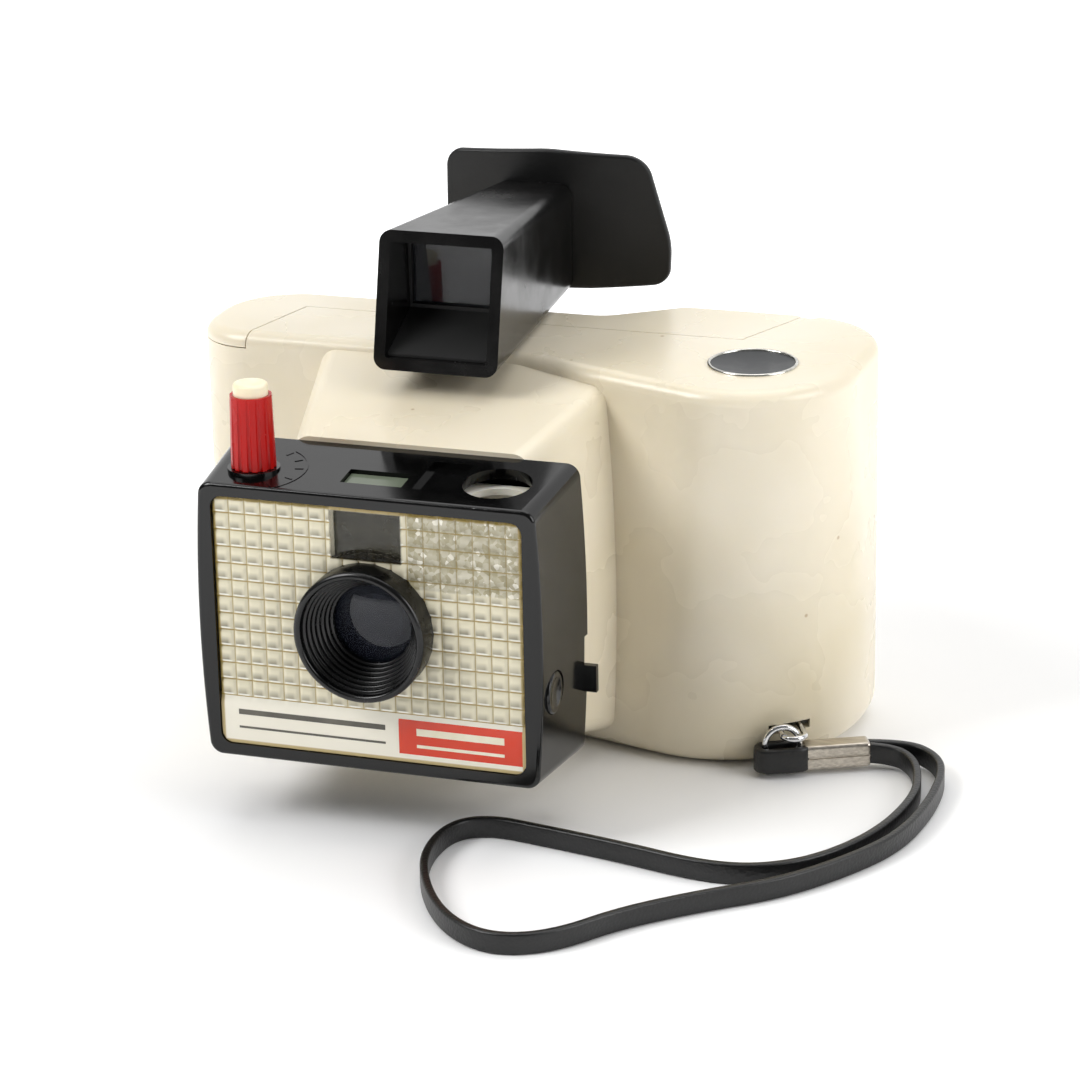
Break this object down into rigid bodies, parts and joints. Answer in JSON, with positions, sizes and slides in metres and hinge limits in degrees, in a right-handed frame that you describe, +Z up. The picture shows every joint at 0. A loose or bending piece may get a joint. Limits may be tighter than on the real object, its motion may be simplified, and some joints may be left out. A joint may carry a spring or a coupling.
{
  "type": "instant camera",
  "caption": "Rigid roll-film instant camera with a flash window, red exposure knob, tunnel viewfinder, hinged back and a wrist strap.",
  "frame": {"origin": "bottom centre of the camera without its strap, on the surface it stands on", "axes": "+X to the right of someone facing the lens, along the length; +Y from the lens to the back; +Z up"},
  "size_m": [0.1785, 0.168, 0.1229],
  "materials": {
    "cream_plastic": "glossy moulded, slightly yellowed",
    "black_gloss": "glossy moulded",
    "black_dull": "dull",
    "black_rubber": "soft",
    "red_plastic": "glossy",
    "pale_plastic": "glossy",
    "label_red": "printed",
    "clear_plastic": "clear",
    "glass": "polished",
    "dark_glass": "tinted",
    "grey_plastic": "satin",
    "steel": "satin",
    "chrome": "bright",
    "nickel": "plated",
    "brass": "plain",
    "strap_vinyl": "grained"
  },
  "bodies": {
    "camera": {"front_shell": "cream_plastic", "hinge_pin": "steel", "top_disc": "grey_plastic", "roll_pin_top": "grey_plastic", "roll_pin_base": "grey_plastic", "light_cone": "black_dull", "film_gate": "steel", "battery_tray": "black_dull", "cell_front": "label_red", "cell_rear": "label_red", "contact_left": "brass", "contact_right": "brass", "shutter_housing": "black_gloss", "housing_back": "black_dull", "side_plug": "black_gloss", "grid_panel": "clear_plastic", "backing_card": "pale_plastic", "name_strip": "pale_plastic", "name_badge": "label_red", "meter_window": "dark_glass", "meter_mask": "steel", "meter_lamp": "glass", "top_window": "clear_plastic", "flash_reflector": "pale_plastic", "bulb_socket": "black_dull", "lens_hood": "black_gloss", "lens": "glass", "shutter_board": "black_dull", "button_spring": "steel", "finder_tunnel": "black_gloss", "finder_floor": "black_dull", "finder_mask": "black_dull", "front_lens": "glass", "eye_lens": "glass", "eye_shield": "black_rubber", "strap_staple": "chrome", "strap_ring": "chrome", "strap_pin": "steel", "strap_eye": "strap_vinyl", "strap_ferrule": "nickel", "wrist_strap": "strap_vinyl", "housing_screw_1": "steel", "housing_screw_2": "steel", "housing_screw_3": "steel", "finder_screw_1": "steel", "finder_screw_2": "steel"},
    "door": {"back_door": "cream_plastic", "door_bracket": "steel", "pressure_plate": "steel", "plate_spring": "steel"},
    "latch": {"door_latch": "black_gloss"},
    "door_roller_body": {"door_roller": "steel"},
    "fixed_roller_body": {"fixed_roller": "steel"},
    "battery_cover": {"battery_door": "cream_plastic"},
    "ejector": {"bulb_ejector": "black_gloss"},
    "knob": {"exposure_knob": "red_plastic"},
    "slide": {"aperture_slide": "steel"},
    "plunger": {"release_button": "pale_plastic"},
    "blade": {"shutter_blade": "steel"}
  },
  "joints": [
    {"name": "door_hinge", "type": "hinge", "parent": "camera", "child": "door", "pos_m": [0.05695, 0.0525, 0.0477], "axis": [0, 0, -1], "range_deg": [0, 100]},
    {"name": "latch_slide", "type": "slide", "parent": "door", "child": "latch", "axis": [0, 0, 1], "range_m": [0, 0.005]},
    {"name": "door_roller_spin", "type": "hinge", "parent": "door", "child": "door_roller_body", "pos_m": [-0.05935, 0.0344, 0.0477], "axis": [0, 0, 1], "continuous": true},
    {"name": "fixed_roller_spin", "type": "hinge", "parent": "camera", "child": "fixed_roller_body", "pos_m": [-0.05935, 0.025, 0.0477], "axis": [0, 0, 1], "continuous": true},
    {"name": "battery_cover_off", "type": "slide", "parent": "camera", "child": "battery_cover", "axis": [0, 0, -1], "range_m": [0, 0.012]},
    {"name": "ejector_slide", "type": "slide", "parent": "camera", "child": "ejector", "axis": [0, 0, 1], "range_m": [0, 0.0064]},
    {"name": "knob_turn", "type": "hinge", "parent": "camera", "child": "knob", "pos_m": [-0.03765, -0.0489, 0.0784], "axis": [0, 0, -1], "range_deg": [0, 149]},
    {"name": "slide_shift", "type": "slide", "parent": "camera", "child": "slide", "axis": [1, 0, 0], "range_m": [0, 0.0052]},
    {"name": "plunger_press", "type": "slide", "parent": "knob", "child": "plunger", "axis": [0, 0, -1], "range_m": [0, 0.0022], "stiffness_N_per_m": 300, "springref_m": -0.001, "deforming": ["button_spring"]},
    {"name": "blade_swing", "type": "hinge", "parent": "camera", "child": "blade", "pos_m": [-0.02185, -0.0485, 0.036], "axis": [0, -1, 0], "range_deg": [0, 50]}
  ],
  "couplings": [
    {"joint": "knob_turn", "follows": "slide_shift", "rad_per_m": 500},
    {"joint": "blade_swing", "follows": "plunger_press", "rad_per_m": 396}
  ]
}
